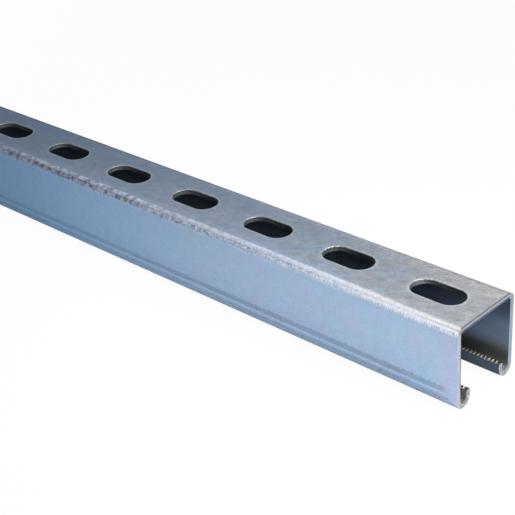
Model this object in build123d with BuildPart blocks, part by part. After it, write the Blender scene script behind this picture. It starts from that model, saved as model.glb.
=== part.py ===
import os

from build123d import *

os.makedirs("parts", exist_ok=True)

# A length of slotted strut channel: one galvanised steel strip, cold rolled to an open box with
# two inturned lips, punched with a row of slots along its web, and serrated along its lip edges.
# Sizes are in millimetres. X runs along the stock, Y across it and Z up. The web is on top, the
# open side faces down, and the origin is under the middle, on the plane that the lips rest on.

# Driving sizes
length = 1000.0
width = 41.0  # outside, over the two legs
depth = 41.0  # outside, from the web to the underside of the lips
wall = 2.5  # thickness of the strip
bend_radius = 3.5  # outside of the bends between the web and the legs
lip_width = 9.5  # outside, from a leg to the lip's face on the gap
lip_height = 7.5  # from the underside to the crests of the lip's teeth
tooth_pitch = 1.92  # from crest to crest
tooth_depth = 0.9  # from crest to root
slot_length = 27.0
slot_width = 14.0
slot_pitch = 50.0
end_distance = 25.0  # from a cut end to the middle of its first slot

# Sizes that follow
half_width = width / 2
curl_radius = lip_width / 2
blank_height = lip_height + tooth_depth  # the lip's edge before its teeth are cut
slot_gaps = int((length - 2 * end_distance) / slot_pitch + 0.001)
first_slot = length / 2 - end_distance
slot_places = [(first_slot - i * slot_pitch, 0) for i in range(slot_gaps + 1)]
tooth_count = int(length / tooth_pitch)
comb_start = -tooth_count * tooth_pitch / 2
comb_reach = half_width - lip_width + 1.5 * wall  # from the middle to past both lips' edges

with BuildPart() as strut_channel:
    # Half of the section, mirrored: out along the strip's outer surface, from the web's middle
    # round to the lip's edge, and back along its inner surface
    with BuildSketch(Plane.YZ.offset(-length / 2)):
        with BuildLine():
            web = Line((0, depth), (bend_radius - half_width, depth))
            bend = JernArc(web @ 1, web % 1, bend_radius, 90)
            leg = Line(bend @ 1, (-half_width, curl_radius))
            curl = JernArc(leg @ 1, leg % 1, curl_radius, 180)
            lip = Line(curl @ 1, (lip_width - half_width, blank_height))
            edge = Line(lip @ 1, (lip_width - half_width - wall, blank_height))
            inner_lip = Line(edge @ 1, (lip_width - half_width - wall, curl_radius))
            inner_curl = JernArc(inner_lip @ 1, inner_lip % 1, curl_radius - wall, -180)
            inner_leg = Line(inner_curl @ 1, (wall - half_width, depth - bend_radius))
            inner_bend = JernArc(inner_leg @ 1, inner_leg % 1, bend_radius - wall, -90)
            inner_web = Line(inner_bend @ 1, (0, depth - wall))
            Line(inner_web @ 1, web @ 0)
        make_face()
        mirror(about=Plane.YZ)
    extrude(amount=length)

    # Slots along the middle of the web, punched from half a wall above it to half a wall below
    with BuildSketch(Plane.XY.offset(depth - wall / 2)):
        with Locations(*slot_places):
            SlotOverall(slot_length, slot_width)
    extrude(amount=wall, both=True, mode=Mode.SUBTRACT)

    # A comb over both lips cuts their edges to teeth
    teeth = [(-length / 2 - wall, lip_height), (comb_start, lip_height)]
    for i in range(tooth_count):
        crest = comb_start + i * tooth_pitch
        teeth.append((crest + tooth_pitch / 2, lip_height - tooth_depth))
        teeth.append((crest + tooth_pitch, lip_height))
    teeth.append((length / 2 + wall, lip_height))
    comb_top = blank_height + wall
    with BuildSketch(Plane.XZ):
        with BuildLine():
            Polyline(*teeth, (length / 2 + wall, comb_top), (-length / 2 - wall, comb_top), close=True)
        make_face()
    extrude(amount=comb_reach, both=True, mode=Mode.SUBTRACT)

strut_channel.part.label = "strut_channel"
export_step(strut_channel.part, "parts/strut_channel.step")
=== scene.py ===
import math

import bpy
import numpy as np
from mathutils import Matrix, Quaternion, Vector


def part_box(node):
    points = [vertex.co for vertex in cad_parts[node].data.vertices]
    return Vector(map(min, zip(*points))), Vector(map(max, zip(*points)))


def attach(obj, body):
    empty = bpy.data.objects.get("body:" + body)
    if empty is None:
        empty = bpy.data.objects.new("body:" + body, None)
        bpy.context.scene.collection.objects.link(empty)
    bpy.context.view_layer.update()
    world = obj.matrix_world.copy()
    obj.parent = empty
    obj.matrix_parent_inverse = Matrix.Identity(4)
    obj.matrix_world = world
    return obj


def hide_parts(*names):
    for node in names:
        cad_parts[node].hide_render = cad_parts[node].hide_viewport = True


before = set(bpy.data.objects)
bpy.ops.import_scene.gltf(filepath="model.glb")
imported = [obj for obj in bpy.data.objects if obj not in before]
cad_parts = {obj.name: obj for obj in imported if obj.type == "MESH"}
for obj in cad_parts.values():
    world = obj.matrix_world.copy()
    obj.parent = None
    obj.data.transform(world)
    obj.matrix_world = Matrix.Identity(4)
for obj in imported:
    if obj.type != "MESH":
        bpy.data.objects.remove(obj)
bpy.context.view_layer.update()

scene = bpy.context.scene
scene.view_settings.view_transform = "Standard"
mm = 0.001
print("frame loaded")


# small helpers for node trees

def addNode(tree, kind, **settings):
    node = tree.nodes.new(kind)
    for key, value in settings.items():
        setattr(node, key, value)
    return node


def feed(tree, socket, value):
    # value is another node's output or a plain value
    if isinstance(value, bpy.types.NodeSocket):
        tree.links.new(value, socket)
    else:
        socket.default_value = value


def calc(tree, operation, *values):
    node = addNode(tree, "ShaderNodeMath", operation=operation)
    for socket, value in zip(node.inputs, values):
        feed(tree, socket, value)
    return node.outputs[0]


def times(tree, *factors):
    # the product of all factors, from left to right
    product = factors[0]
    for factor in factors[1:]:
        product = calc(tree, "MULTIPLY", product, factor)
    return product


def vector(tree, x, y, z):
    node = addNode(tree, "ShaderNodeCombineXYZ")
    for socket, value in zip(node.inputs, (x, y, z)):
        feed(tree, socket, value)
    return node.outputs[0]


def split(tree, place):
    node = addNode(tree, "ShaderNodeSeparateXYZ")
    feed(tree, node.inputs[0], place)
    return node.outputs


def fade(tree, value, start, stop):
    # 0 at start, 1 at stop, eased between them; start may be the larger
    node = addNode(tree, "ShaderNodeMapRange", interpolation_type="SMOOTHSTEP")
    feed(tree, node.inputs["Value"], value)
    feed(tree, node.inputs["From Min"], start)
    feed(tree, node.inputs["From Max"], stop)
    return node.outputs["Result"]


def window(tree, value, rise, fall, origin=0.0):
    # 1 between two fades, whose ends are counted from origin
    up, down = [[origin + end for end in ends] for ends in (rise, fall)]
    return times(tree, fade(tree, value, *up), fade(tree, value, *down))


def spread(tree, value, low, high):
    # takes 0..1 to low..high
    node = addNode(tree, "ShaderNodeMapRange")
    feed(tree, node.inputs["Value"], value)
    feed(tree, node.inputs["To Min"], low)
    feed(tree, node.inputs["To Max"], high)
    return node.outputs["Result"]


def tint(tree, share, under, over):
    node = addNode(tree, "ShaderNodeMix", data_type="RGBA")
    feed(tree, node.inputs[0], share)
    feed(tree, node.inputs[6], under)
    feed(tree, node.inputs[7], over)
    return node.outputs[2]


def swing(tree, pattern, amount):
    # a pattern round 0.5 taken to a factor round 1
    return calc(tree, "MULTIPLY_ADD", calc(tree, "SUBTRACT", pattern, 0.5), amount, 1.0)


def shade(tree, colour, factor):
    # scales a colour's brightness
    node = addNode(tree, "ShaderNodeVectorMath", operation="SCALE")
    feed(tree, node.inputs[0], colour)
    feed(tree, node.inputs["Scale"], factor)
    return node.outputs[0]


def tone(tree, colour, share, factor):
    # scales a colour's brightness by factor where share is 1, and leaves it where share is 0
    return shade(tree, colour, spread(tree, share, 1.0, factor))


def stain(tree, colour, by):
    # multiplies two colours
    node = addNode(tree, "ShaderNodeVectorMath", operation="MULTIPLY")
    feed(tree, node.inputs[0], colour)
    feed(tree, node.inputs[1], by)
    return node.outputs[0]


def grain(tree, place, size, detail=2.0, turn=0.0, shift=0.0, roughness=0.5):
    # noise whose spots are about size long, across and deep, in the place's own units
    aim = addNode(tree, "ShaderNodeMapping", vector_type="TEXTURE")
    feed(tree, aim.inputs["Vector"], place)
    aim.inputs["Location"].default_value = (shift, shift, 0)
    aim.inputs["Rotation"].default_value = (0, 0, math.radians(turn))
    aim.inputs["Scale"].default_value = size
    node = addNode(tree, "ShaderNodeTexNoise")
    feed(tree, node.inputs["Vector"], aim.outputs[0])
    node.inputs["Scale"].default_value = 1.0
    node.inputs["Detail"].default_value = detail
    node.inputs["Roughness"].default_value = roughness
    return node.outputs["Fac"]


def mixShaders(tree, share, under, over, end):
    mix = addNode(tree, "ShaderNodeMixShader")
    for socket, value in zip(mix.inputs, (share, under.outputs[0], over.outputs[0])):
        feed(tree, socket, value)
    feed(tree, end.inputs["Surface"], mix.outputs[0])


def aimed(place, aim, roll=0.0):
    # a matrix at place that looks at aim, rolled by some degrees
    turn = (Vector(aim) - Vector(place)).to_track_quat("-Z", "Y") @ Quaternion((0, 0, 1), math.radians(roll))
    return Matrix.Translation(place) @ turn.to_matrix().to_4x4()


# camera, worked out from the slots and the edges of the stock in the photograph

cameraSet = {
    "place": (0.75246, -0.38425, 0.32341),
    "aim": (0.36486, 0.00177, 0.020),
    "roll": -3.985,  # degrees
    "lens": 88.69,
    "sensor": 36.0,
    "nearest": 0.01,
    "farthest": 50.0,
}


def makeCamera(s):
    data = bpy.data.cameras.new("photoCamera")
    data.lens = s["lens"]
    data.sensor_width = s["sensor"]
    data.clip_start = s["nearest"]
    data.clip_end = s["farthest"]
    cam = bpy.data.objects.new("photoCamera", data)
    scene.collection.objects.link(cam)
    cam.matrix_world = aimed(s["place"], s["aim"], s["roll"])
    scene.camera = cam


makeCamera(cameraSet)
print("camera placed")


# soft lamps, most of them round the near end; the far end's own are kept off the near half by their cones

nearTint = (1.0, 0.97, 0.92)
nearLamps = {  # cone in degrees
    "key": dict(place=(0.70, 0.05, 0.32), aim=(0.46, 0, 0.04), size=0.25, power=0.54, cone=80),
    "crown": dict(place=(0.52, 0.12, 0.32), aim=(0.45, 0, 0.04), size=0.25, power=0.42, cone=180),
    "bend": dict(place=(0.36, -0.22, 0.45), aim=(0.44, 0, 0.03), size=0.3, power=0.8, cone=180),
    "fill": dict(place=(0.80, -0.35, 0.10), aim=(0.47, 0, 0.02), size=0.25, power=0.06, cone=100),
    "back": dict(place=(0.20, 0.62, 0.42), aim=(0.38, 0, 0.03), size=0.6, power=0.18, cone=180),
    "backMid": dict(place=(-0.10, 0.62, 0.42), aim=(0.25, 0, 0.03), size=0.7, power=0.10, cone=180),
    "backLow": dict(place=(0.0, 1.0, 0.14), aim=(0, 0, 0.02), size=0.8, power=0.6, cone=120),
}
farTint = (0.80, 0.93, 1.0)
farLamps = {
    "farTop": dict(place=(-0.46, 0, 0.60), aim=(-0.36, 0, 0.04), size=0.4, power=0.5, cone=60),
    "farFront": dict(place=(-0.46, -0.50, 0.30), aim=(-0.33, 0, 0.03), size=0.4, power=0.24, cone=60),
    "farBack": dict(place=(-0.46, 0.50, 0.30), aim=(-0.33, 0, 0.03), size=0.4, power=0.28, cone=60),
}


def makeLamp(name, color, place, aim, size, power, cone):
    data = bpy.data.lights.new(name, "AREA")
    data.shape = "SQUARE"
    data.size = size
    data.energy = power
    data.spread = math.radians(cone)
    data.color = color
    lamp = bpy.data.objects.new(name, data)
    scene.collection.objects.link(lamp)
    lamp.visible_camera = False
    lamp.matrix_world = aimed(place, aim)


for lampTint, lampSet in ((nearTint, nearLamps), (farTint, farLamps)):
    for lampName, lampPart in lampSet.items():
        makeLamp(lampName + "Lamp", lampTint, **lampPart)


# bluish air lights the stock; the camera sees a white backdrop in its place

airSet = {
    "color": (0.70, 1.0, 1.36, 1),
    "strength": 0.13,
    "backdrop": (0.96, 0.96, 0.96, 1),
    "whiteGloss": 0.12,  # the share of the white that metal sees
}


def glossShare(tree, rays, share):
    gloss = calc(tree, "MAXIMUM", rays.outputs["Is Glossy Ray"], rays.outputs["Is Transmission Ray"])
    return times(tree, gloss, share)


def makeAir(s):
    world = bpy.data.worlds.new("studioAir")
    scene.world = world
    world.use_nodes = True
    tree = world.node_tree
    air = tree.nodes["Background"]
    air.inputs["Color"].default_value = s["color"]
    air.inputs["Strength"].default_value = s["strength"]
    # what the camera, and in part the metal, sees past the floor
    backdrop = addNode(tree, "ShaderNodeBackground")
    backdrop.inputs["Color"].default_value = s["backdrop"]
    rays = addNode(tree, "ShaderNodeLightPath")
    seen = calc(tree, "MAXIMUM", rays.outputs["Is Camera Ray"], glossShare(tree, rays, s["whiteGloss"]))
    mixShaders(tree, seen, air, backdrop, tree.nodes["World Output"])


makeAir(airSet)


# pale floor: its own shade under the stock, nearly white to the camera and in part white to the metal

floorSet = {
    "size": 8.0,
    "drop": 0.5 * mm,
    "color": (0.85, 0.85, 0.85, 1),
    "roughness": 0.9,
    "whiteSeen": 0.96,
    "whiteGloss": 0.12,
}


def makeFloor(s):
    mat = bpy.data.materials.new("studioFloor")
    mat.use_nodes = True
    tree = mat.node_tree
    paint = tree.nodes["Principled BSDF"]
    paint.inputs["Base Color"].default_value = s["color"]
    paint.inputs["Roughness"].default_value = s["roughness"]
    rays = addNode(tree, "ShaderNodeLightPath")
    glow = addNode(tree, "ShaderNodeEmission")
    seen = times(tree, rays.outputs["Is Camera Ray"], s["whiteSeen"])
    seen = calc(tree, "MAXIMUM", seen, glossShare(tree, rays, s["whiteGloss"]))
    mixShaders(tree, seen, paint, glow, tree.nodes["Material Output"])
    half = s["size"] / 2
    mesh = bpy.data.meshes.new("studioFloor")
    corners = [(x, y, -s["drop"]) for x, y in ((-half, -half), (half, -half), (half, half), (-half, half))]
    mesh.from_pydata(corners, [], [(0, 1, 2, 3)])
    mesh.materials.append(mat)
    floor = bpy.data.objects.new("studioFloor", mesh)
    scene.collection.objects.link(floor)


makeFloor(floorSet)
print("studio ready")


# sizes of the stock; what the frame knows comes from the frame

cadLow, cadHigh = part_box("strut_channel")
stockSet = {
    "length": cadHigh.x - cadLow.x,
    "width": cadHigh.y - cadLow.y,
    "depth": cadHigh.z,
    "wall": 2.5 * mm,
    "bendRadius": 3.5 * mm,
    "lipWidth": 9.5 * mm,
    "lipHeight": 7.5 * mm,
    "toothPitch": 1.92 * mm,
    "toothDepth": 0.9 * mm,
    "toothRim": 0.55 * mm,
    "toothPower": 0.8,  # under 1 narrows the crests
    "slotLength": 27.0 * mm,
    "slotWidth": 14.0 * mm,
    "slotPitch": 50.0 * mm,
    "endDistance": 25.0 * mm,
    "rimRoll": 0.4 * mm,  # the slot's top edge, drawn down by the punch
    "rimNoise": 0.03 * mm,
    "rimSpots": 900.0,  # to the metre
    "seed": 7,
    "arcSteps": {"bend": 14, "curl": 24, "innerCurl": 18, "innerBend": 8},
    "punchSides": 56,
    "punchRings": 8,
    "toothSteps": 6,
    "weld": 0.002 * mm,
    "sharpAngle": 32.0,  # degrees
}
webFlat = stockSet["width"] / 2 - stockSet["bendRadius"]  # from the middle to the bend
bendRun = math.pi / 2 * stockSet["bendRadius"]
legFlat = stockSet["depth"] - stockSet["bendRadius"] - stockSet["lipWidth"] / 2
bendStart = webFlat / mm  # this and the next two are places round the strip, in mm from the web's middle
legStart = (webFlat + bendRun) / mm
footStart = legStart + legFlat / mm


# finishes; patterns follow the "strip" attribute: mm along the stock, round the strip from the web's
# middle, and in from the outer skin; what "grains" holds goes to the helper grain

def newFinish(name, s):
    mat = bpy.data.materials.new(name)
    mat.use_nodes = True
    tree = mat.node_tree
    shader = tree.nodes["Principled BSDF"]
    shader.inputs["Roughness"].default_value = s["roughness"]
    shader.inputs["Metallic"].default_value = s["metallic"]
    return mat, tree, shader


def addBump(tree, shader, height, depth):
    bump = addNode(tree, "ShaderNodeBump")
    bump.inputs["Strength"].default_value = 1.0
    bump.inputs["Distance"].default_value = depth
    feed(tree, bump.inputs["Height"], height)
    feed(tree, shader.inputs["Normal"], bump.outputs[0])


def markedPlace(tree):
    return addNode(tree, "ShaderNodeAttribute", attribute_name="strip").outputs["Vector"]


def objectPlace(tree):
    return addNode(tree, "ShaderNodeTexCoord").outputs["Object"]


def gapToEnd(tree, along):
    # mm to the nearer cut end
    return calc(tree, "SUBTRACT", stockSet["length"] / mm / 2, calc(tree, "ABSOLUTE", along))


def placeInPitch(tree, along):
    # mm from the middle of the nearest slot
    pitch = stockSet["slotPitch"] / mm
    return calc(tree, "SUBTRACT", calc(tree, "FLOORED_MODULO", along, pitch), pitch / 2)


def bendFade(tree, value, start, stop):
    # a fade whose ends are counted from where the bend starts
    return fade(tree, value, bendStart + start, bendStart + stop)


scuffTurn = 37.0  # degrees from the stock's length
skinSet = {
    "webCool": (0.41, 0.505, 0.65, 1),
    "webWarm": (0.455, 0.52, 0.62, 1),
    "webHandled": (0.42, 0.425, 0.45, 1),  # by the cut ends
    # painted shade: the web's colour further in from the cuts
    "webShadedFar": (0.37, 0.50, 0.72, 1),
    "plain": (1.0, 1.0, 1.0, 1.0),
    "warmed": (0.98, 0.95, 0.905, 1),
    "greenish": (0.92, 0.97, 0.98, 1),
    "reddish": (1.06, 1.02, 1.01, 1),
    "rim": (0.60, 0.61, 0.61, 1),
    "leg": (0.37, 0.515, 0.70, 1),
    # painted shade: the legs' colour further in from the cuts
    "legShadedFar": (0.27, 0.475, 0.72, 1),
    "lilac": (0.41, 0.485, 0.67, 1),
    "burnish": (0.68, 0.695, 0.725),  # what the rollers' band keeps of the colour under it
    "frostLight": (0.59, 0.59, 0.605, 1),
    "frostBlue": (0.66, 0.715, 0.86, 1),
    "frostWhite": (0.71, 0.745, 0.84, 1),
    "frostGrey": (0.50, 0.58, 0.72, 1),
    "frostDark": (0.31, 0.385, 0.52, 1),
    # painted shade of the crease by the cut
    "creaseShade": (0.46, 0.44, 0.42, 1),
    "burrShadow": (0.16, 0.15, 0.145, 1),
    # painted shade: the lips' faces
    "lip": (0.06, 0.085, 0.12, 1),
    "speck": (0.10, 0.11, 0.13, 1),
    "roughness": 0.45,
    "metallic": 0.85,
    "bump": 0.06 * mm,
    "grains": {
        "speckle": dict(size=(0.45, 0.45, 0.45)),
        "crumbs": dict(size=(1.3, 1.3, 1.3), shift=12.0),
        "mottle": dict(size=(5.0, 5.0, 5.0), detail=3.0),
        "dots": dict(size=(1.4, 1.4, 1.4), detail=0.0, shift=33.0),
        "patches": dict(size=(15.0, 7.0, 7.0), detail=4.0, turn=scuffTurn, shift=40.0, roughness=0.6),
        "strokes": dict(size=(3.2, 0.8, 0.8), turn=scuffTurn, shift=90.0),
        "smears": dict(size=(9.0, 2.6, 2.6), detail=3.0, turn=scuffTurn, shift=21.0, roughness=0.6),
        "hues": dict(size=(7.0, 3.0, 3.0), detail=3.0, turn=scuffTurn, shift=62.0, roughness=0.6),
        "scores": dict(size=(16.0, 0.4, 0.4), turn=4.0, shift=9.0),
        "rubs": dict(size=(3.0, 1.2, 1.2), detail=3.0, turn=40.0, shift=51.0, roughness=0.6),
        "ringEdge": dict(size=(2.0, 2.0, 2.0)),
        "cloud": dict(size=(14.0, 9.0, 9.0), shift=70.0),
        "ticks": dict(size=(0.5, 1.4, 1.4), detail=1.0, turn=20.0, shift=120.0),
        "bandEdge": dict(size=(1.6, 8.0, 8.0), detail=4.0, shift=15.0, roughness=0.7),
        "streak": dict(size=(24.0, 0.5, 0.5), shift=5.0),
        "strands": dict(size=(0.7, 2.6, 2.6), detail=3.0, shift=60.0, roughness=0.6),
        "clumps": dict(size=(4.5, 4.5, 4.5), shift=80.0),
        "craze": dict(size=(0.9, 1.3, 1.3), detail=3.0, shift=25.0, roughness=0.6),
        "lumps": dict(size=(2.7, 3.3, 3.3), turn=25.0, shift=47.0),
    },
}


def webColour(tree, s, place, girth, endGap, inward):
    # cool and warm patches, and a worn beige by the cut ends
    g = s["grains"]
    patches = grain(tree, place, **g["patches"])
    web = tint(tree, fade(tree, patches, 0.37, 0.63), s["webCool"], s["webWarm"])
    handled = fade(tree, calc(tree, "MULTIPLY_ADD", patches, -120.0, endGap), 60.0, -70.0)
    web = tint(tree, handled, web, s["webHandled"])

    # slanting scuffs
    strokes = grain(tree, place, **g["strokes"])
    web = tint(tree, times(tree, fade(tree, strokes, 0.60, 0.76), 0.4), web, s["frostLight"])
    web = tone(tree, web, fade(tree, strokes, 0.42, 0.28), 0.86)
    smears = fade(tree, grain(tree, place, **g["smears"]), 0.36, 0.64)
    web = shade(tree, web, swing(tree, smears, spread(tree, fade(tree, endGap, 160.0, 50.0), 0.02, 0.16)))

    # painted light: lighter towards the near bend, and darker towards the far side further in; and patches of
    # two hues
    web = tone(tree, web, fade(tree, girth, -11.0, 1.0 - bendStart), 1.14)
    web = shade(tree, web, spread(tree, times(tree, fade(tree, girth, -14.0, 14.0), inward), 1.05, 0.91))
    hues = fade(tree, grain(tree, place, **g["hues"]), 0.38, 0.62)
    web = stain(tree, web, tint(tree, hues, s["greenish"], s["reddish"]))

    # long scores, a warmer far side and rubbed spots, all near the cut
    scores = fade(tree, grain(tree, place, **g["scores"]), 0.58, 0.70)
    web = tone(tree, web, times(tree, scores, fade(tree, endGap, 50.0, 5.0)), 0.72)
    nearCut = times(tree, fade(tree, girth, 0.0, 12.0), fade(tree, endGap, 150.0, 70.0))
    web = stain(tree, web, tint(tree, nearCut, s["plain"], s["warmed"]))
    web = tone(tree, web, times(tree, nearCut, fade(tree, endGap, 35.0, 10.0)), 1.09)
    rubs = fade(tree, grain(tree, place, **g["rubs"]), 0.47, 0.60)
    rubbed = times(tree, bendFade(tree, girth, -8.0, -3.0), fade(tree, endGap, 150.0, 50.0), rubs, 0.7)
    web = tint(tree, rubbed, web, s["frostLight"])

    # painted shade: deeper blue and darker further in from the cuts
    shadeFurtherIn = times(tree, fade(tree, girth, -4.0, 12.0), fade(tree, endGap, 170.0, 320.0), 0.5)
    web = tint(tree, shadeFurtherIn, web, s["webShadedFar"])
    return tone(tree, web, fade(tree, endGap, 190.0, 290.0), 0.92)


def slotRing(tree, s, place, along, girth, crumbs):
    # a ring of rolled metal round each slot
    run = (stockSet["slotLength"] - stockSet["slotWidth"]) / 2 / mm
    past = calc(tree, "SUBTRACT", calc(tree, "ABSOLUTE", placeInPitch(tree, along)), run)
    past = calc(tree, "MAXIMUM", past, 0.0)
    reach = calc(tree, "SQRT", calc(tree, "ADD", times(tree, past, past), times(tree, girth, girth)))
    gap = calc(tree, "SUBTRACT", reach, stockSet["slotWidth"] / 2 / mm)
    gap = calc(tree, "ADD", gap, spread(tree, grain(tree, place, **s["grains"]["ringEdge"]), -0.8, 0.8))
    return times(tree, fade(tree, gap, 2.2, 0.6), spread(tree, fade(tree, crumbs, 0.35, 0.6), 0.35, 0.9))


def legColour(tree, s, place, endGap):
    # blue zinc with violet patches, more violet by the cut, and pale ticks; bluer and darker further in as
    # painted shade
    g = s["grains"]
    cloud = fade(tree, grain(tree, place, **g["cloud"]), 0.42, 0.62)
    violet = times(tree, cloud, fade(tree, endGap, 300.0, 60.0), 0.6)
    violet = calc(tree, "MAXIMUM", violet, fade(tree, endGap, 14.0, 5.0))
    leg = tint(tree, fade(tree, endGap, 90.0, 330.0), s["leg"], s["legShadedFar"])
    leg = tint(tree, violet, leg, s["lilac"])
    ticks = fade(tree, grain(tree, place, **g["ticks"]), 0.66, 0.78)
    return tint(tree, times(tree, ticks, 0.45), leg, s["frostWhite"])


def rollerBands(tree, s, leg, place, side, endGap, crumbs):
    # the burnished bands that the rollers left along each leg; the upper is ragged above and crisp below
    g = s["grains"]
    height = calc(tree, "SUBTRACT", footStart + stockSet["lipWidth"] / 2 / mm, side)  # over the floor
    ragged = calc(tree, "ADD", height, spread(tree, grain(tree, place, **g["bandEdge"]), -2.8, 2.8))
    ragged = calc(tree, "ADD", ragged, spread(tree, fade(tree, endGap, 60.0, 240.0), 0.0, 0.4))
    worn = fade(tree, calc(tree, "MULTIPLY_ADD", crumbs, 3.0, endGap), 6.0, 10.0)
    band = times(tree, fade(tree, ragged, 10.7, 10.2), fade(tree, height, 7.5, 7.9), worn)
    band = times(tree, band, spread(tree, fade(tree, crumbs, 0.35, 0.55), 0.65, 1.05))
    band = times(tree, band, spread(tree, fade(tree, endGap, 90.0, 280.0), 1.0, 0.75))
    streak = spread(tree, grain(tree, place, **g["streak"]), 0.3, 0.9)
    lower = times(tree, window(tree, height, (3.4, 4.4), (6.2, 5.6)), worn, streak)
    lower = times(tree, lower, spread(tree, fade(tree, endGap, 60.0, 200.0), 1.0, 0.5))
    burnished = stain(tree, leg, s["burnish"])
    leg = tint(tree, calc(tree, "MAXIMUM", band, times(tree, lower, 0.8)), leg, burnished)

    # a pale ridge between the bands, and darker speckles under it
    leg = tone(tree, leg, times(tree, window(tree, height, (6.1, 6.7), (7.7, 7.2)), worn), 1.10)
    darkUnder = times(tree, fade(tree, height, 6.5, 5.0), fade(tree, crumbs, 0.44, 0.32))
    return tone(tree, leg, darkUnder, 0.6), band


def frostedBend(tree, s, place, girth, side, endGap, inward):
    # where the strip was bent its zinc is frosted: a smooth pale line, partly a painted highlight that is
    # strongest by the cut, and flecks that run down the leg; there is less of it on the far bend, as painted
    # shade
    g = s["grains"]
    strands, clumps, craze, lumps = [grain(tree, place, **g[name])
                                     for name in ("strands", "clumps", "craze", "lumps")]
    start = spread(tree, inward, bendStart + 1.2, bendStart - 1.2)
    full = spread(tree, inward, bendStart + 1.9, bendStart + 1.0)
    under = spread(tree, inward, bendStart + 1.8, bendStart + 0.9)
    line = times(tree, fade(tree, calc(tree, "ADD", side, clumps), start, full),
                 fade(tree, side, bendStart + 2.3, under))
    hang = calc(tree, "MULTIPLY_ADD", inward, 1.2, spread(tree, strands, -4.9, 4.1))
    hang = calc(tree, "ADD", calc(tree, "ADD", side, hang), spread(tree, clumps, -2.0, 2.0))
    flecked = times(tree, bendFade(tree, side, 1.6, 2.4), bendFade(tree, hang, 5.2, 4.4))
    frost = times(tree, calc(tree, "ADD", line, flecked), spread(tree, fade(tree, girth, 0.0, 5.0), 1.0, 0.3))

    # flecks, larger further in and darker low down; the frost is painted darker and bluer further in from the
    # cut, as shade
    lumpy = fade(tree, endGap, 90.0, 230.0)
    lean = times(tree, bendFade(tree, side, 0.6, 3.2), inward, 0.12)
    large = calc(tree, "MULTIPLY_ADD", calc(tree, "SUBTRACT", craze, 0.5), 0.3, lumps)
    flecks = calc(tree, "MULTIPLY_ADD", clumps, 0.35, spread(tree, lumpy, craze, large))
    flecks = calc(tree, "SUBTRACT", flecks, lean)
    flecks = fade(tree, flecks, spread(tree, lumpy, 0.48, 0.40), spread(tree, lumpy, 0.62, 0.70))
    paleLineSheen = times(tree, line, spread(tree, inward, 0.9, 0.4))
    dark = tint(tree, inward, s["frostGrey"], s["frostDark"])
    light = tint(tree, inward, s["frostLight"], s["frostBlue"])
    light = tint(tree, times(tree, flecked, spread(tree, inward, 1.0, 0.25)), light, s["frostWhite"])
    colour = tint(tree, calc(tree, "MAXIMUM", flecks, paleLineSheen), dark, light)
    colour = tone(tree, colour, times(tree, flecked, fade(tree, endGap, 130.0, 230.0)), 0.72)
    # painted shade on the pale line further in from the cut
    turnedShade = times(tree, window(tree, side, (-0.2, 1.0), (3.0, 2.2), bendStart), inward)
    colour = tone(tree, colour, turnedShade, 0.82)
    colour = shade(tree, colour, swing(tree, fade(tree, lumps, 0.34, 0.66), spread(tree, lumpy, 0.06, 0.55)))
    return frost, colour, craze


def bendMarksAndShade(tree, s, skin, girth, side, endGap, inward):
    # a painted sheen under the frost, strongest by the cut, a crease through it darkened with painted shade,
    # and a dark line of painted shade over it by the cut
    paintedSheen = window(tree, side, (2.8, 3.6), (5.8, 4.8), bendStart)
    skin = tone(tree, skin, times(tree, paintedSheen, fade(tree, endGap, 260.0, 60.0)), 1.25)
    creaseShade = window(tree, side, (1.7, 2.3), (3.1, 2.6), bendStart)
    skin = tone(tree, skin, creaseShade, spread(tree, inward, 0.84, 0.88))
    skin = tint(tree, times(tree, creaseShade, fade(tree, endGap, 30.0, 4.0)), skin, s["creaseShade"])
    # painted shade at the bend's start, by the cut
    leadShade = window(tree, side, (-1.2, -0.4), (1.2, 0.6), bendStart)
    skin = tone(tree, skin, times(tree, leadShade, fade(tree, endGap, 60.0, 20.0)), 0.84)
    skin = tone(tree, skin, bendFade(tree, girth, -0.8, 0.4), 0.5)  # painted shade: the far bend darker
    # painted shade: darker in the middle of the stock
    return tone(tree, skin, fade(tree, endGap, 220.0, 330.0), 0.88)


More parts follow.
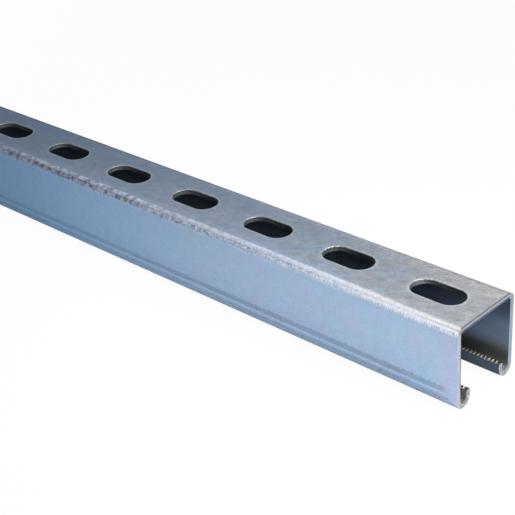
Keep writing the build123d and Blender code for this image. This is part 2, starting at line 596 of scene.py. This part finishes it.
def galvanisedSkin(s):
    mat, tree, shader = newFinish("galvanisedSkin", s)
    g = s["grains"]
    place = markedPlace(tree)
    along, girth = split(tree, place)[:2]
    side = calc(tree, "ABSOLUTE", girth)
    endGap = gapToEnd(tree, along)
    inward = fade(tree, endGap, 5.0, 110.0)
    legShare = fade(tree, side, legStart - 2.0, legStart + 1.0)
    speckle, crumbs, mottle, dots = [grain(tree, place, **g[name])
                                     for name in ("speckle", "crumbs", "mottle", "dots")]

    web = webColour(tree, s, place, girth, endGap, inward)
    web = tint(tree, slotRing(tree, s, place, along, girth, crumbs), web, s["rim"])
    leg, band = rollerBands(tree, s, legColour(tree, s, place, endGap), place, side, endGap, crumbs)
    skin = tint(tree, legShare, web, leg)
    frost, frostColour, craze = frostedBend(tree, s, place, girth, side, endGap, inward)
    skin = tint(tree, frost, skin, frostColour)
    skin = bendMarksAndShade(tree, s, skin, girth, side, endGap, inward)

    # a grimy burr by the saw cut, darkened with its painted shadow, and the lips' faces painted dark as shade
    # under the channel
    cutGap = calc(tree, "ADD", endGap, spread(tree, crumbs, -0.5, 0.5))
    burrShadow = times(tree, fade(tree, cutGap, 0.8, 0.2), bendFade(tree, side, 3.0, 0.5), 0.85)
    skin = tint(tree, burrShadow, skin, s["burrShadow"])
    # painted shade: the lips' faces dark, as under the channel
    skin = tint(tree, fade(tree, side, footStart + 3.0, footStart + 9.0), skin, s["lip"])

    # speckle, and a mottle and crumbs that are stronger on the web, over it all
    skin = shade(tree, skin, times(tree, swing(tree, speckle, 0.75),
                                   swing(tree, mottle, spread(tree, legShare, 0.36, 0.24)),
                                   swing(tree, crumbs, spread(tree, legShare, 0.50, 0.26))))
    skin = tint(tree, times(tree, fade(tree, dots, 0.78, 0.84), 0.35), skin, s["speck"])
    feed(tree, shader.inputs["Base Color"], skin)

    gloss = spread(tree, mottle, s["roughness"] - 0.07, s["roughness"] + 0.05)
    gloss = calc(tree, "ADD", gloss, times(tree, calc(tree, "SUBTRACT", crumbs, 0.5), 0.10))
    gloss = calc(tree, "SUBTRACT", gloss, times(tree, band, 0.06))
    gloss = calc(tree, "ADD", gloss, times(tree, frost, 0.10))
    feed(tree, shader.inputs["Roughness"], gloss)
    # the bend is less metallic, most of all by the cut
    powder = times(tree, window(tree, side, (-1.0, 0.5), (6.5, 5.0), bendStart),
                   spread(tree, fade(tree, endGap, 0.0, 260.0), 0.55, 0.14))
    feed(tree, shader.inputs["Metallic"], calc(tree, "SUBTRACT", s["metallic"], powder))
    relief = calc(tree, "MULTIPLY_ADD", crumbs, 0.6, times(tree, mottle, 0.6))
    relief = calc(tree, "MULTIPLY_ADD", speckle, 0.3, relief)
    addBump(tree, shader, calc(tree, "ADD", relief, times(tree, craze, frost)), s["bump"])
    return mat


insideSet = {
    "clean": (0.215, 0.305, 0.455, 1),
    "shadedLow": (0.25, 0.265, 0.265, 1),
    "dust": (0.34, 0.345, 0.32, 1),
    "shadeFurtherIn": 0.5,  # the brightness that is left further in from the cut
    "under": 0.5,  # and under the web
    "roughness": 0.5,
    "metallic": 0.8,
    "bump": 0.04 * mm,
    "grains": {"mottle": dict(size=(7.0, 7.0, 7.0), detail=3.0), "speckle": dict(size=(0.8, 0.8, 0.8))},
}


# the inside faces: a darker copy of the zinc, as painted shade
def shadedInside(s):
    mat, tree, shader = newFinish("shadedInside", s)
    place = markedPlace(tree)
    along, girth = split(tree, place)[:2]
    side = calc(tree, "ABSOLUTE", girth)
    endGap = gapToEnd(tree, along)
    mottle = grain(tree, place, **s["grains"]["mottle"])
    speckle = grain(tree, place, **s["grains"]["speckle"])
    # painted shade: greyer and a little darker towards the lips, and dust lies in them by the cut ends
    lipwardShade = calc(tree, "ADD", side, spread(tree, mottle, -5.0, 5.0))
    skin = tint(tree, fade(tree, lipwardShade, footStart - 12.0, footStart - 4.5), s["clean"], s["shadedLow"])
    dusty = times(tree, fade(tree, side, footStart - 2.0, footStart + 1.0), fade(tree, endGap, 25.0, 3.0))
    skin = tint(tree, dusty, skin, s["dust"])
    # painted shade: darker under the web and further in from the cut
    skin = tone(tree, skin, fade(tree, side, 37.0, 27.0), s["under"])
    skin = shade(tree, skin, times(tree, swing(tree, speckle, 0.35), swing(tree, mottle, 0.35),
                                   spread(tree, fade(tree, endGap, 8.0, 45.0), 1.0, s["shadeFurtherIn"])))
    feed(tree, shader.inputs["Base Color"], skin)
    gloss = spread(tree, mottle, s["roughness"] - 0.08, s["roughness"] + 0.10)
    feed(tree, shader.inputs["Roughness"], gloss)
    addBump(tree, shader, calc(tree, "ADD", speckle, mottle), s["bump"])
    return mat


punchedSet = {
    "rolled": (0.30, 0.325, 0.35, 1),
    "torn": (0.175, 0.195, 0.205, 1),
    "sheared": (0.335, 0.345, 0.35, 1),
    "chip": (0.70, 0.71, 0.70, 1),
    "roughness": 0.5,
    "metallic": 0.8,
    "bump": 0.1 * mm,
    "grains": {
        "wave": dict(size=(2.5, 2.5, 50.0)),
        "shears": dict(size=(9.0, 9.0, 50.0), detail=1.0, shift=8.0),
        "crumbs": dict(size=(0.6, 0.6, 0.6), detail=3.0),
        "chips": dict(size=(1.0, 1.0, 1.0), detail=1.0, shift=20.0),
    },
}


def punchedWall(s):
    mat, tree, shader = newFinish("punchedWall", s)
    g = s["grains"]
    place = markedPlace(tree)
    parts = split(tree, place)
    along, depthIn = parts[0], parts[2]
    level = calc(tree, "ADD", depthIn, spread(tree, grain(tree, place, **g["wave"]), -0.5, 0.5))
    shears = fade(tree, grain(tree, place, **g["shears"]), 0.4, 0.6)
    crumbs = grain(tree, place, **g["crumbs"])
    torn = fade(tree, calc(tree, "ADD", level, crumbs), 0.5, 1.0)
    skin = tint(tree, torn, s["rolled"], s["torn"])
    skin = tint(tree, times(tree, window(tree, level, (1.3, 1.7), (2.3, 2.0)), shears), skin, s["sheared"])
    # painted shade: each slot's wall is darker towards +X; the other end has chips of zinc on its rim
    inPitch = placeInPitch(tree, along)
    wallShade = calc(tree, "MULTIPLY_ADD", crumbs, 8.0, inPitch)
    skin = shade(tree, skin, spread(tree, fade(tree, wallShade, -6.0, 10.0), 1.15, 0.42))
    chips = fade(tree, grain(tree, place, **g["chips"]), 0.55, 0.65)
    chips = times(tree, chips, fade(tree, inPitch, 2.0, -7.0),
                  spread(tree, fade(tree, gapToEnd(tree, along), 40.0, 130.0), 1.0, 0.3),
                  fade(tree, depthIn, 1.2, 0.4))
    skin = tint(tree, chips, skin, s["chip"])
    feed(tree, shader.inputs["Base Color"], shade(tree, skin, swing(tree, crumbs, 1.2)))
    addBump(tree, shader, crumbs, s["bump"])
    return mat


cutSet = {
    "clean": (0.32, 0.35, 0.42, 1),
    "bright": (0.42, 0.43, 0.50, 1),
    "grimy": (0.24, 0.23, 0.21, 1),
    "corner": (0.31, 0.30, 0.285, 1),
    "farLeg": (0.25, 0.305, 0.39, 1),
    # painted shade on the cut face's inner part
    "inner": (0.06, 0.085, 0.14, 1),
    "burrShadow": (0.11, 0.11, 0.125, 1),
    "roughness": 0.5,
    "metallic": 0.8,
    "bump": 0.06 * mm,
    "grains": {  # this finish goes by the stock's own place, in metres
        "crumbs": dict(size=(0.6 * mm, 0.6 * mm, 0.6 * mm), detail=3.0),
        "pits": dict(size=(1.2 * mm, 1.2 * mm, 1.2 * mm), shift=0.5),
        "lines": dict(size=(1.0 * mm, 0.3 * mm, 6.0 * mm)),
    },
}


def cutEnd(s):
    mat, tree, shader = newFinish("cutEnd", s)
    g = s["grains"]
    place = objectPlace(tree)
    across, height = split(tree, place)[1:]
    crumbs = grain(tree, place, **g["crumbs"])
    pits = fade(tree, grain(tree, place, **g["pits"]), 0.42, 0.58)
    lines = grain(tree, place, **g["lines"])

    # brightest on the near leg
    skin = tint(tree, fade(tree, across, -17.0 * mm, -18.5 * mm), s["clean"], s["bright"])
    skin = tint(tree, fade(tree, across, 16.5 * mm, 18.0 * mm), skin, s["farLeg"])
    corner = times(tree, fade(tree, across, -14.5 * mm, -16.5 * mm), fade(tree, height, 37.5 * mm, 39.0 * mm))
    skin = tint(tree, corner, skin, s["corner"])

    # the lips' ends are rough and grimy
    grime = fade(tree, calc(tree, "MULTIPLY_ADD", crumbs, 4.0 * mm, height), 12.0 * mm, 7.0 * mm)
    grime = times(tree, grime, fade(tree, calc(tree, "ABSOLUTE", across), 18.5 * mm, 16.5 * mm),
                  spread(tree, fade(tree, across, 0.0, 5.0 * mm), 1.0, 0.75))
    skin = tint(tree, times(tree, grime, spread(tree, pits, 1.0, 0.5)), skin, s["grimy"])
    skin = tone(tree, skin, times(tree, grime, calc(tree, "SUBTRACT", pits, 0.4)), 1.9)
    skin = shade(tree, skin, times(tree, swing(tree, lines, 0.35), swing(tree, crumbs, 0.4)))

    # the inner part is painted dark on the web and the near leg, as shade, and a burr runs along the top with
    # its painted shadow
    top = calc(tree, "SUBTRACT", stockSet["depth"], height)
    outer = calc(tree, "SUBTRACT", stockSet["width"] / 2, calc(tree, "ABSOLUTE", across))
    outer = calc(tree, "ADD", calc(tree, "MINIMUM", top, outer), spread(tree, crumbs, -0.2 * mm, 0.2 * mm))
    drawn = times(tree, fade(tree, height, 10.0 * mm, 14.0 * mm), fade(tree, across, 17.5 * mm, 16.5 * mm))
    inner = tint(tree, fade(tree, across, -16.0 * mm, -18.0 * mm), fade(tree, outer, 1.2 * mm, 1.7 * mm),
                 fade(tree, outer, 1.7 * mm, 2.2 * mm))
    skin = tint(tree, times(tree, drawn, inner), skin, s["inner"])
    # the burr along the top, darkened with its painted shadow
    burrShadow = fade(tree, calc(tree, "MULTIPLY_ADD", crumbs, 0.3 * mm, top), 0.6 * mm, 0.3 * mm)
    feed(tree, shader.inputs["Base Color"], tint(tree, burrShadow, skin, s["burrShadow"]))
    addBump(tree, shader, calc(tree, "ADD", crumbs, lines), s["bump"])
    return mat


knurlSet = {
    "crest": (0.39, 0.37, 0.34, 1),
    "root": (0.10, 0.10, 0.10, 1),
    "roughness": 0.4,
    "metallic": 0.85,
    "bump": 0.04 * mm,
    "grains": {"crumbs": dict(size=(0.5, 0.5, 0.5))},
}


def knurledEdge(s):
    mat, tree, shader = newFinish("knurledEdge", s)
    place = markedPlace(tree)
    height = split(tree, objectPlace(tree))[2]
    depthIn = split(tree, place)[2]
    top = stockSet["lipHeight"]
    crest = fade(tree, height, top - 0.75 * stockSet["toothDepth"], top - 0.15 * stockSet["toothDepth"])
    middle = window(tree, depthIn, (0.2, 0.8), (2.2, 1.5))  # the nuts' own track
    crumbs = grain(tree, place, **s["grains"]["crumbs"])
    # the roots, and the teeth off the nuts' track, are painted near black, as shade
    skin = tint(tree, times(tree, crest, middle), s["root"], s["crest"])
    feed(tree, shader.inputs["Base Color"], shade(tree, skin, swing(tree, crumbs, 0.6)))
    addBump(tree, shader, crumbs, s["bump"])
    return mat


finishes = {
    "skin": galvanisedSkin(skinSet),
    "inside": shadedInside(insideSet),
    "slotWall": punchedWall(punchedSet),
    "cut": cutEnd(cutSet),
    "teeth": knurledEdge(knurlSet),
}
print("finishes mixed")


# the stock's section is a curve; a Geometry Nodes tree sweeps it along X and cuts the slots and teeth

def arcPoints(centre, radius, start, turn, steps):
    # points round an arc, angles in degrees
    made = []
    for i in range(steps + 1):
        angle = math.radians(start + turn * i / steps)
        made.append((centre[0] + radius * math.cos(angle), centre[1] + radius * math.sin(angle)))
    return made


def sectionCurve(s):
    # the left half goes out along the strip's outer skin and back along its inner one
    half = s["width"] / 2
    curl = s["lipWidth"] / 2
    blank = s["lipHeight"] + s["toothDepth"]
    bend = (s["bendRadius"] - half, s["depth"] - s["bendRadius"])
    foot = (curl - half, curl)
    gapSide = s["lipWidth"] - half
    steps = s["arcSteps"]
    left = arcPoints(bend, s["bendRadius"], 90, 90, steps["bend"])
    left += arcPoints(foot, curl, 180, 180, steps["curl"])
    left += [(gapSide, blank), (gapSide - s["wall"], blank)]
    left += arcPoints(foot, curl - s["wall"], 360, -180, steps["innerCurl"])
    left += arcPoints(bend, s["bendRadius"] - s["wall"], 180, -90, steps["innerBend"])
    right = [(-across, up) for across, up in reversed(left)]
    data = bpy.data.curves.new("strutSection", "CURVE")
    data.dimensions = "2D"
    data.fill_mode = "NONE"
    spline = data.splines.new("POLY")
    spline.points.add(len(left + right) - 1)
    for point, (across, up) in zip(spline.points, left + right):
        point.co = (across, up, 0, 1)
    spline.use_cyclic_u = True
    return data


def punchTool(tree, get, maths, sides, rings):
    # a drum drawn out to a slot, with its neck flared for the rolled rim; the end rings reach past the web
    drum = addNode(tree, "GeometryNodeMeshCylinder", fill_type="NGON")
    drum.inputs["Vertices"].default_value = sides
    drum.inputs["Side Segments"].default_value = rings
    drum.inputs["Depth"].default_value = 1.0
    radius = maths("MULTIPLY", get["slotWidth"], 0.5)
    feed(tree, drum.inputs["Radius"], radius)
    x, y, z = split(tree, addNode(tree, "GeometryNodeInputPosition").outputs[0])
    ring = maths("MULTIPLY", maths("ADD", z, 0.5), rings)
    angle = maths("MULTIPLY", maths("SUBTRACT", ring, 1.0), math.pi / 2 / (rings - 2))
    angle = maths("MINIMUM", maths("MAXIMUM", angle, 0.0), math.pi / 2)
    flare = maths("MULTIPLY", get["rimRoll"], maths("SUBTRACT", 1.0, maths("COSINE", angle)))
    grow = maths("DIVIDE", maths("ADD", radius, flare), radius)
    run = maths("MULTIPLY", maths("SUBTRACT", get["slotLength"], get["slotWidth"]), 0.5)
    newX = maths("ADD", maths("MULTIPLY", x, grow), maths("MULTIPLY", maths("SIGN", x), run))
    sink = maths("MULTIPLY", get["rimRoll"], maths("SUBTRACT", maths("SINE", angle), 1.0))
    below = maths("MULTIPLY", maths("MAXIMUM", maths("SUBTRACT", 1.0, ring), 0.0),
                  maths("MULTIPLY", get["wall"], -1.5))
    above = maths("MULTIPLY", maths("MAXIMUM", maths("SUBTRACT", ring, rings - 1.0), 0.0), get["wall"])
    newZ = maths("ADD", sink, maths("ADD", below, above))
    tool = addNode(tree, "GeometryNodeSetPosition")
    feed(tree, tool.inputs["Geometry"], drum.outputs["Mesh"])
    feed(tree, tool.inputs["Position"], vector(tree, newX, maths("MULTIPLY", y, grow), newZ))
    return tool.outputs[0]


def slotRow(tree, get, maths, tool, spots):
    # the punch at each slot, a little uneven
    span = maths("SUBTRACT", get["length"], maths("MULTIPLY", get["endDistance"], 2.0))
    count = maths("ADD", maths("ROUND", maths("DIVIDE", span, get["slotPitch"])), 1.0)
    row = addNode(tree, "GeometryNodeMeshLine")
    feed(tree, row.inputs["Count"], count)
    first = maths("SUBTRACT", get["endDistance"], maths("MULTIPLY", get["length"], 0.5))
    feed(tree, row.inputs["Start Location"], vector(tree, first, 0.0, get["depth"]))
    feed(tree, row.inputs["Offset"], vector(tree, get["slotPitch"], 0.0, 0.0))
    copies = addNode(tree, "GeometryNodeInstanceOnPoints")
    feed(tree, copies.inputs["Points"], row.outputs[0])
    feed(tree, copies.inputs["Instance"], tool)
    real = addNode(tree, "GeometryNodeRealizeInstances")
    feed(tree, real.inputs[0], copies.outputs[0])
    noise = addNode(tree, "ShaderNodeTexNoise", noise_dimensions="4D")
    noise.inputs["Scale"].default_value = spots
    noise.inputs["Detail"].default_value = 1.0
    feed(tree, noise.inputs["W"], get["seed"])
    amount = maths("MULTIPLY", maths("SUBTRACT", noise.outputs["Fac"], 0.5),
                   maths("MULTIPLY", get["rimNoise"], 2.0))
    push = addNode(tree, "ShaderNodeVectorMath", operation="SCALE")
    feed(tree, push.inputs[0], addNode(tree, "GeometryNodeInputNormal").outputs[0])
    feed(tree, push.inputs["Scale"], amount)
    uneven = addNode(tree, "GeometryNodeSetPosition")
    feed(tree, uneven.inputs["Geometry"], real.outputs[0])
    feed(tree, uneven.inputs["Offset"], push.outputs[0])
    return uneven.outputs[0]


def toothComb(tree, get, maths, steps, power):
    # a bar over both lips; its underside has the teeth, rounded at crest and root, which die out
    # towards a thin rim along both sides of each lip's edge
    spare = 4.0  # pitches longer than the stock
    rows = 8  # four over each lip
    hair = 0.1 * mm
    teeth = maths("FLOOR", maths("DIVIDE", get["length"], get["toothPitch"]))
    pitches = maths("ADD", teeth, spare)
    barLength = maths("MULTIPLY", pitches, get["toothPitch"])
    tall = maths("ADD", get["wall"], get["toothDepth"])
    bar = addNode(tree, "GeometryNodeMeshCube")
    feed(tree, bar.inputs["Size"], vector(tree, barLength, get["width"], tall))
    feed(tree, bar.inputs["Vertices X"], maths("ADD", maths("MULTIPLY", pitches, steps), 1.0))
    bar.inputs["Vertices Y"].default_value = rows
    x, y, z = split(tree, addNode(tree, "GeometryNodeInputPosition").outputs[0])
    turns = maths("DIVIDE", maths("ADD", x, maths("MULTIPLY", barLength, 0.5)), get["toothPitch"])
    bite = maths("SUBTRACT", 1.0, maths("COSINE", maths("MULTIPLY", turns, 2 * math.pi)))
    bite = maths("POWER", maths("MAXIMUM", maths("MULTIPLY", bite, 0.5), 0.0), power)
    toothed = maths("LESS_THAN", maths("ABSOLUTE", x), times(tree, teeth, get["toothPitch"], 0.5))
    under = maths("LESS_THAN", z, 0.0)
    dip = times(tree, bite, toothed, maths("MULTIPLY", under, get["toothDepth"]))

    # the rows lie at both edges of the lip, a hair outside, and at the inside of both rims
    row = maths("DIVIDE", maths("ABSOLUTE", y), maths("DIVIDE", get["width"], rows - 1.0))
    inRim, inTeeth, outRim = [maths("MINIMUM", maths("MAXIMUM", maths("SUBTRACT", row, k), 0.0), 1.0)
                              for k in (0.5, 1.5, 2.5)]
    gapEdge = maths("SUBTRACT", maths("MULTIPLY_ADD", get["width"], 0.5, -hair), get["lipWidth"])
    between = maths("SUBTRACT", maths("ADD", get["wall"], 2 * hair), maths("MULTIPLY", get["toothRim"], 2.0))
    rims = maths("MULTIPLY", maths("ADD", inRim, outRim), get["toothRim"])
    reach = maths("ADD", gapEdge, maths("ADD", rims, maths("MULTIPLY", inTeeth, between)))
    newY = maths("MULTIPLY", maths("SIGN", y), reach)
    dip = maths("MULTIPLY", dip, maths("MULTIPLY", inRim, maths("SUBTRACT", 1.0, outRim)))
    rise = maths("ADD", get["lipHeight"], maths("MULTIPLY", tall, 0.5))
    newZ = maths("ADD", z, maths("SUBTRACT", rise, dip))
    comb = addNode(tree, "GeometryNodeSetPosition")
    feed(tree, comb.inputs["Geometry"], bar.outputs["Mesh"])
    feed(tree, comb.inputs["Position"], vector(tree, x, newY, newZ))
    return comb.outputs[0]


def stockTree(s, skin):
    tree = bpy.data.node_groups.new("slottedStrut", "GeometryNodeTree")
    tree.is_modifier = True
    tree.interface.new_socket(name="Geometry", in_out="INPUT", socket_type="NodeSocketGeometry")
    tree.interface.new_socket(name="Geometry", in_out="OUTPUT", socket_type="NodeSocketGeometry")
    for name in ("length", "width", "depth", "wall", "lipWidth", "lipHeight", "toothPitch", "toothDepth",
                 "toothRim", "slotLength", "slotWidth", "slotPitch", "endDistance", "rimRoll", "rimNoise"):
        tree.interface.new_socket(name=name, in_out="INPUT", socket_type="NodeSocketFloat")
    tree.interface.new_socket(name="seed", in_out="INPUT", socket_type="NodeSocketInt")
    get = addNode(tree, "NodeGroupInput").outputs

    def maths(operation, *values):
        return calc(tree, operation, *values)

    half = maths("MULTIPLY", get["length"], 0.5)
    path = addNode(tree, "GeometryNodeCurvePrimitiveLine")
    feed(tree, path.inputs["Start"], vector(tree, 0.0, 0.0, maths("MULTIPLY", half, -1.0)))
    feed(tree, path.inputs["End"], vector(tree, 0.0, 0.0, half))
    sweep = addNode(tree, "GeometryNodeCurveToMesh")
    feed(tree, sweep.inputs["Curve"], path.outputs[0])
    feed(tree, sweep.inputs["Profile Curve"], get["Geometry"])
    sweep.inputs["Fill Caps"].default_value = True
    lay = addNode(tree, "GeometryNodeTransform")
    feed(tree, lay.inputs["Geometry"], sweep.outputs[0])
    lay.inputs["Rotation"].default_value = (math.radians(90), 0, math.radians(90))

    tool = punchTool(tree, get, maths, s["punchSides"], s["punchRings"])
    cut = addNode(tree, "GeometryNodeMeshBoolean", operation="DIFFERENCE", solver="MANIFOLD")
    feed(tree, cut.inputs["Mesh 1"], lay.outputs[0])
    feed(tree, cut.inputs["Mesh 2"], toothComb(tree, get, maths, s["toothSteps"], s["toothPower"]))
    feed(tree, cut.inputs["Mesh 2"], slotRow(tree, get, maths, tool, s["rimSpots"]))
    weld = addNode(tree, "GeometryNodeMergeByDistance")
    feed(tree, weld.inputs["Geometry"], cut.outputs["Mesh"])
    weld.inputs["Distance"].default_value = s["weld"]
    real = addNode(tree, "GeometryNodeRealizeInstances")
    feed(tree, real.inputs[0], weld.outputs[0])
    finish = addNode(tree, "GeometryNodeSetMaterial")
    feed(tree, finish.inputs["Geometry"], real.outputs[0])
    finish.inputs["Material"].default_value = skin
    feed(tree, addNode(tree, "NodeGroupOutput").inputs[0], finish.outputs[0])
    return tree


def stripPlaces(points, s):
    # where each point lies on the strip, in mm: along the stock, round from the web's middle, in from
    # the skin
    x, y, z = points.T
    out = np.abs(y)
    half, radius, curl = s["width"] / 2, s["bendRadius"], s["lipWidth"] / 2
    footAcross = half - curl
    overBend = z - (s["depth"] - radius)
    legEnd = webFlat + bendRun + legFlat
    bendAngle = np.arctan2(out - webFlat, overBend)
    curlAngle = np.arctan2(curl - z, out - footAcross)
    onWeb = (out <= webFlat) & (z > s["depth"] / 2)
    onBend = (out > webFlat) & (z > s["depth"] - radius)
    onCurl = (z < curl) & ~onWeb
    onLip = (z >= curl) & (z < s["depth"] / 2) & (out < footAcross)
    onLeg = ~(onWeb | onBend | onCurl | onLip)
    kinds = [onWeb, onBend, onLeg, onCurl, onLip]
    girth = np.select(kinds, [
        out,
        webFlat + bendAngle * radius,
        webFlat + bendRun + s["depth"] - radius - z,
        legEnd + curlAngle * curl,
        legEnd + math.pi * curl + z - curl,
    ])
    depthIn = np.select(kinds, [
        s["depth"] - z,
        radius - np.hypot(out - webFlat, overBend),
        half - out,
        curl - np.hypot(out - footAcross, z - curl),
        out - (half - s["lipWidth"]),
    ])
    return np.stack([x, girth * np.sign(y), depthIn], 1) / mm


def readVectors(items, name):
    values = np.empty(len(items) * 3, np.float32)
    items.foreach_get(name, values)
    return values.reshape(-1, 3)


def dressStock(mesh, s):
    # marks each point's place on the strip, and gives each face its finish by where it lies and faces
    slack, hair = 0.1 * mm, 0.01 * mm
    level, endOn, rising = 0.95, 0.9, 0.2  # shares of the normal along Z, X and Z
    strip = mesh.attributes.new("strip", "FLOAT_VECTOR", "POINT")
    marks = stripPlaces(readVectors(mesh.vertices, "co"), s)
    strip.data.foreach_set("vector", marks.astype(np.float32).ravel())
    centres = readVectors(mesh.polygons, "center")
    normals = readVectors(mesh.polygons, "normal")
    out, up = np.abs(centres[:, 1]), centres[:, 2]
    number = {name: i for i, name in enumerate(finishes)}
    depthIn = stripPlaces(centres, s)[:, 2] * mm
    index = np.where(depthIn > s["wall"] / 2, number["inside"], number["skin"])
    inSlot = (out < s["slotWidth"] / 2 + s["rimRoll"]) & (up > s["depth"] - s["wall"] - slack)
    index[inSlot & (np.abs(normals[:, 2]) < level)] = number["slotWall"]
    atEnd = np.abs(centres[:, 0]) > s["length"] / 2 - hair
    index[atEnd & (np.abs(normals[:, 0]) > endOn)] = number["cut"]
    onLip = (out < s["width"] / 2 - s["lipWidth"] + s["wall"]) & (up < s["depth"] / 2)
    atTeeth = onLip & (up > s["lipHeight"] - s["toothDepth"] - hair)
    index[atTeeth & (normals[:, 2] > rising)] = number["teeth"]
    mesh.materials.clear()
    for mat in finishes.values():
        mesh.materials.append(mat)
    mesh.polygons.foreach_set("material_index", index.astype(np.int32))
    mesh.polygons.foreach_set("use_smooth", np.ones(len(index), bool))
    mesh.set_sharp_from_angle(angle=math.radians(s["sharpAngle"]))
    mesh.update()


def evaluatedMesh(thing):
    graph = bpy.context.evaluated_depsgraph_get()
    return bpy.data.meshes.new_from_object(thing.evaluated_get(graph), depsgraph=graph)


def makeStock(s):
    rough = bpy.data.objects.new("strutRough", sectionCurve(s))
    scene.collection.objects.link(rough)
    tree = stockTree(s, finishes["skin"])
    step = rough.modifiers.new("slottedStrut", "NODES")
    step.node_group = tree
    for item in tree.interface.items_tree:
        if item.in_out == "INPUT" and item.name in s:
            step[item.identifier] = s[item.name]
    mesh = evaluatedMesh(rough)
    bpy.data.objects.remove(rough)
    dressStock(mesh, s)
    stock = bpy.data.objects.new("slottedStrut", mesh)
    scene.collection.objects.link(stock)
    even = stock.modifiers.new("evenNormals", "WEIGHTED_NORMAL")
    even.keep_sharp = True
    final = evaluatedMesh(stock)
    stock.modifiers.clear()
    stock.data = final
    final.name = "slottedStrut"
    return stock


stock = makeStock(stockSet)
stock.data.calc_loop_triangles()
print("stock cut:", len(stock.data.loop_triangles), "triangles")
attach(stock, "root")
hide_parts("strut_channel")
